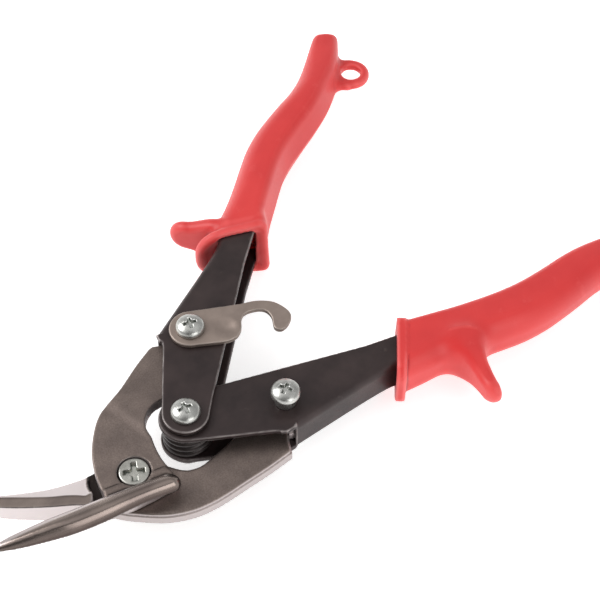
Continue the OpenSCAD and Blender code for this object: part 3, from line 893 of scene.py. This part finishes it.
# the lower blade: the wedge's cutting side, its back, the opening beside the stack, and the disc and tang
WEDGE_FRONT = [(19.1, -4.7), (24.2, -9.9), (29.7, -16.0), (33.3, -20.5), (37.6, -26.4), (38.4, -28.4)]
WEDGE_BACK = [(36.8, -29.9), (32.5, -26), (28, -21.9), (24, -18.8), (19.4, -15.6), (13.7, -12.9),
              (7.8, -11.2), (2, -10.8)]
LOWER_FRONT = [(12, 3), (14.2, 1.2), (16.4, -1.4), *WEDGE_FRONT]
LOWER_OPENING = [(-4, -9.4), (-8.6, -3), (-9.4, 1.9), (-10.2, 5), (-12, 8.8), (-14.4, 10.7), (-17, 11.6),
                 (-21.8, 12), (-26.1, 12.3), (-34, 12.4)]
LOWER_RIM = [(12, 3), (10.3, 6.3), (8.3, 9.3), (5.8, 12.8), (3.1, 16), (-0.8, 19.3), (-4.6, 21.6),
             (-9, 23.4), (-13.6, 24.7), (-20, 26.1), (-28, 27.9), (-36.6, 29.4)]
LOWER_TANG_END = corners((-39.6, 25.6), (-41, 24.4), (-49, 13.5), (-34, 12.4))
LAND_BACK = [(13.6, -4.0), (15.2, -4.6), (16.8, -6.7), (18.8, -9.0), (21.9, -12.0), (25.7, -16.3),
             (31.0, -22.6), (36.6, -28.8)]
# fall of the wedge's back for each millimetre behind its land
LAND_SLOPE = 0.55
# the relief round the upper blade's rim, and the ledge along the lower blade's top edge
RELIEF_RADIUS = 13.4
LEDGE = 0.55
# the underside of the lower jaw: where it starts to rise, which way, and how steeply
THINNING_X = 14
THINNING_Y = -4
THINNING_ALONG = (0.69, -0.725)
THINNING_SLOPE = 0.108


def rounded_jaw(g):
    """Bar above the shear plane: a bevel up from the cutting edge, then a round back."""
    flat = plan(g, outline(JAW_EDGE, JAW_BACK[1:], [(-5.2, 7.0)], [JAW_EDGE[0]]))
    inner = line_distance(g, [(-8.0, 8.4), *whole_curve(JAW_EDGE)])
    outer = curve_distance(g, JAW_BACK)
    radius = np.interp(g.x, *np.transpose(JAW_RADIUS))
    rise = g.z - SHEAR
    back = np.hypot(np.maximum(radius - outer, 0), np.maximum(rise, 0)) - radius
    bevel = (rise - BEVEL_SLOPE * inner) / math.hypot(1, BEVEL_SLOPE)
    sides = np.maximum(flat, -rise)
    return common(np.maximum(sides, back), bevel, 2.4)


def bar_polish_and_highlight(x, y, z):
    """Bare metal on the bar, with a painted highlight on the ground bevel along its straight cutting edge.
    """
    (x0, y0), (x1, y1) = JAW_EDGE[0], JAW_EDGE[-1]
    from_edge = ((x1 - x0) * (y - y0) - (y1 - y0) * (x - x0)) / math.hypot(x1 - x0, y1 - y0)
    # the part over 1 is a painted highlight on the bevel
    return ease(z, SHEAR + 0.1, SHEAR + 0.4) * (1 + 0.35 * ease(-from_edge, -3.4, -2.2))


def pivot_holes(g, field, radius, side):
    """Drills a blade for its two pivots and cuts the room for the handle pivot's stack.

    side is 1 for the upper blade, whose tang is on the left, and -1 for the lower one.
    """
    field = drilled(g, field, radius)
    field = drilled(g, field, radius, TANG_X, side * TANG_Y)
    return drilled(g, field, STACK_ROOM, STACK_X, -side * STACK_Y, edge=0.4)


def upper_blade():
    """Offset blade: pivot disc and tang, with the rounded jaw bar on top."""
    g = Grid((-56, -29, -0.8), (48.5, 17, 10.2), BLADE_STEP)
    flat = plan(g, outline(UPPER_RIM, *UPPER_TANG_END, UPPER_OPENING, [JAW_ROOT], DISC_BACK,
                           [UPPER_RIM[0]]))
    flat = np.minimum(flat, disc(g, TANG_RADIUS, TANG_X, TANG_Y))
    step_up = ease(-(g.x + 0.35 * g.y), 10.2, 12.6) * ease(-g.x, 10, 14)
    field = slab(g, flat, 0.05, DISC_TOP + TANG_STEP * step_up, 0.45)
    beside_jaw = plan(g, outline(BESIDE_JAW, *corners((-7.0, 8.2), (-6.2, 12.2)), DISC_BACK,
                                 *corners(UPPER_RIM[0], BESIDE_JAW[0])))
    field = np.minimum(field, slab(g, beside_jaw, 0.5, SHEAR, 0.3))
    field = join(field, rounded_jaw(g), 0.5)
    field = cut(field, slab(g, disc(g, COUNTERBORE_RADIUS), COUNTERBORE_FLOOR, 12, 0.2), 0.3)
    field = pivot_holes(g, field, SHANK + 0.1, side=1)
    piece("upper_blade_forging", "upper_blade", UPPER_STEEL, g, field, BLADES, "upper_blade",
          bar_polish_and_highlight)


def jaw_polish_highlight_and_shade(x, y, z):
    """Bare metal on the lower jaw, a painted highlight on the ground slope below its land, painted shade in
    the relief.
    """
    on_jaw = ease(x, 5, 7) * ease(-y, -1, 1)
    from_pivot = np.hypot(x, y)
    # painted shade in the relief round the upper blade's rim
    relief = ease(-from_pivot, -14.2, -13.9) * ease(-z, 0.4 - SHEAR, 0.8 - SHEAR) * ease(z, -3.5, -2.5)
    # painted highlight on the ground slope below the land
    below_land = ease(-z, 0.15 - SHEAR, 0.3 - SHEAR)
    # the underside is bare only towards the tip
    bare_from = 13.8 + 12 * ease(-z, 2.5, 4)
    bare = ease(from_pivot, 13.5, bare_from) * (1 - relief)
    return on_jaw * (bare * (1 + 0.5 * below_land) - relief)


def lower_blade():
    """Blade with the flat-land jaw: a plate with a wedge on it that leans back from its land."""
    thick = -bottom_of("lower_blade")
    g = Grid((-56, -32, -thick - 0.8), (40.5, 32, SHEAR + 0.8), BLADE_STEP)
    back = [*WEDGE_BACK, *LOWER_OPENING]
    flat = plan(g, outline(LOWER_RIM, *LOWER_TANG_END, back[::-1][1:], LOWER_FRONT[::-1], [LOWER_FRONT[0]]))
    flat = np.minimum(flat, disc(g, TANG_RADIUS, TANG_X, -TANG_Y))
    field = slab(g, flat + LEDGE * ease(g.z, -1.3, -0.9), -thick, 0, 0.4)
    wedge = plan(g, outline(LOWER_FRONT[2:], [WEDGE_BACK[0]], WEDGE_BACK[1:],
                            *corners((8.0, -9.0), (13.4, -3.4), LOWER_FRONT[2])))
    land = plan(g, outline(LOWER_FRONT[2:], [LAND_BACK[-1]], LAND_BACK[::-1][1:], [LOWER_FRONT[2]]))
    slope = (g.z - SHEAR + LAND_SLOPE * np.maximum(land, 0)) / math.hypot(1, LAND_SLOPE)
    jaw = common(slab(g, wedge, -thick, SHEAR, 0.2), slope, 0.25)
    field = join(field, jaw, 0.6)
    field = cut(field, slab(g, disc(g, RELIEF_RADIUS), 0.001, 20, 0.1), 0.4)
    out = (g.x - THINNING_X) * THINNING_ALONG[0] + (g.y - THINNING_Y) * THINNING_ALONG[1]
    under = (-g.z - thick + THINNING_SLOPE * np.clip(out, 0, None)) / math.hypot(1, THINNING_SLOPE)
    field = common(field, under, 0.4)
    field = pivot_holes(g, field, SHANK, side=-1)
    piece("lower_blade_forging", "lower_blade", LOWER_STEEL, g, field, BLADES, "lower_blade",
          jaw_polish_highlight_and_shade)


# ------------------------------------------------------------------ assembly
left_grip()
right_grip()
left_handle()
right_handle()
upper_blade()
lower_blade()
latch()
blade_screw()
screw("latch_screw", "left_handle", LEFT_TANG, "left_tang_screw", turn=0.35,
      seat=top_of("left_tang_screw") - PAN_HEIGHT)
screw("latch_stud", "right_handle", RIGHT_TANG, "right_tang_stud", turn=0.6,
      seat=top_of("right_tang_stud") - PAN_HEIGHT, shoulder=top_of("right_handle"))
screw("handle_screw", "left_handle", LEFT, "handle_pivot_screw", turn=0.5, seat=top_of("left_handle"))
lock_nut("blade_nut", "lower_blade", BLADES, "blade_pivot_nut")
lock_nut("left_nut", "left_handle", LEFT_TANG, "left_tang_nut")
lock_nut("right_nut", "right_handle", RIGHT_TANG, "right_tang_nut")
lock_nut("handle_nut", "left_handle", LEFT, "handle_pivot_nut")
handle_spring()

DARK_PIECES = ["left_tang_lower_spacer", "left_tang_upper_spacer", "right_tang_spacer",
               "upper_pivot_washer", "lower_pivot_washer", "spring_sleeve"]
for node in ["blade_pivot_washer", *DARK_PIECES]:
    frame["nodes"][node].data.materials.clear()
    frame["nodes"][node].data.materials.append(DARK_STEEL if node in DARK_PIECES else ZINC)


# ------------------------------------------------------------------ stage, light and camera
FLOOR_REACH = 3.0
# the surround's light at heights from 0 at the horizon to 1 overhead
WORLD_LIGHT = [(0.12, 1.0), (1.0, 0.42), (0.55, 0.40)]
# how squarely a direction faces the camera where the surround starts to darken and where it is darkest
SHADE_START = 0.80
SHADE_END = 0.96
DARKEST = 0.15
LENS = 90.52
SENSOR = 36
CAMERA_AZIMUTH = math.radians(39.7428)
CAMERA_RISE = math.radians(51.9471)
CAMERA_AWAY = 0.481775
LOOK_AT = Vector((-0.0146, -0.0053, 0.0127))
CAMERA_SIDE = Vector((math.cos(CAMERA_RISE) * math.cos(CAMERA_AZIMUTH),
                      math.cos(CAMERA_RISE) * math.sin(CAMERA_AZIMUTH), math.sin(CAMERA_RISE)))


def pale_floor():
    """Plain pale paper under the tool."""
    mesh = bpy.data.meshes.new("floor")
    ring = [(x * FLOOR_REACH, y * FLOOR_REACH, 0) for x, y in ((-1, -1), (1, -1), (1, 1), (-1, 1))]
    mesh.from_pydata(ring, [], [(0, 1, 2, 3)])
    floor = bpy.data.objects.new("floor", mesh)
    bpy.context.scene.collection.objects.link(floor)
    n = Nodes("paper")
    colour = n.mix(n.noise(60, 2), (0.9, 0.9, 0.9, 1), (0.93, 0.93, 0.93, 1))
    mesh.materials.append(n.finish(Base_Color=colour, Roughness=0.9, Emission_Color=(1, 1, 1, 1),
                                   Emission_Strength=0.6))


def studio_world():
    """Soft surround: bright round the horizon, dimmer overhead, dark where the camera stands."""
    world = bpy.data.worlds.new("studio")
    bpy.context.scene.world = world
    world.use_nodes = True
    tree = world.node_tree
    direction = tree.nodes.new("ShaderNodeTexCoord").outputs["Generated"]
    split = tree.nodes.new("ShaderNodeSeparateXYZ")
    ramp = tree.nodes.new("ShaderNodeValToRGB")
    facing = tree.nodes.new("ShaderNodeVectorMath")
    facing.operation = "DOT_PRODUCT"
    facing.inputs[1].default_value = CAMERA_SIDE
    shade = tree.nodes.new("ShaderNodeMapRange")
    for socket, value in zip(shade.inputs[1:], (SHADE_START, SHADE_END, 1.0, DARKEST)):
        socket.default_value = value
    tree.links.new(direction, split.inputs[0])
    tree.links.new(direction, facing.inputs[0])
    tree.links.new(facing.outputs["Value"], shade.inputs[0])
    tree.links.new(split.outputs["Z"], ramp.inputs["Fac"])
    tree.links.new(ramp.outputs["Color"], tree.nodes["Background"].inputs["Color"])
    tree.links.new(shade.outputs[0], tree.nodes["Background"].inputs["Strength"])
    stops = [*ramp.color_ramp.elements, ramp.color_ramp.elements.new(0.5)]
    for stop, (height, light) in zip(stops, WORLD_LIGHT):
        stop.position = height
        stop.color = (light, light, light, 1)


def area_light(name, place, size, power):
    """Rectangular light that faces the tool."""
    light = bpy.data.lights.new(name, "AREA")
    light.shape = "RECTANGLE"
    light.size, light.size_y = size
    light.energy = power
    obj = bpy.data.objects.new(name, light)
    obj.location = place
    obj.rotation_euler = Vector(place).to_track_quat("Z", "Y").to_euler()
    bpy.context.scene.collection.objects.link(obj)


def studio_camera():
    """Camera above the jaws and to one side, looking at the middle of the tool."""
    data = bpy.data.cameras.new("camera")
    data.lens = LENS
    data.sensor_width = SENSOR
    camera = bpy.data.objects.new("camera", data)
    camera.location = LOOK_AT + CAMERA_AWAY * CAMERA_SIDE
    camera.rotation_euler = CAMERA_SIDE.to_track_quat("Z", "Y").to_euler()
    bpy.context.scene.collection.objects.link(camera)
    bpy.context.scene.camera = camera


pale_floor()
studio_world()
area_light("key", place=(0.35, -0.8, 0.8), size=(0.7, 0.7), power=7)
area_light("fill", place=(0.2, 0.9, 0.6), size=(0.6, 0.9), power=4)
studio_camera()
bpy.context.scene.view_settings.view_transform = "Standard"
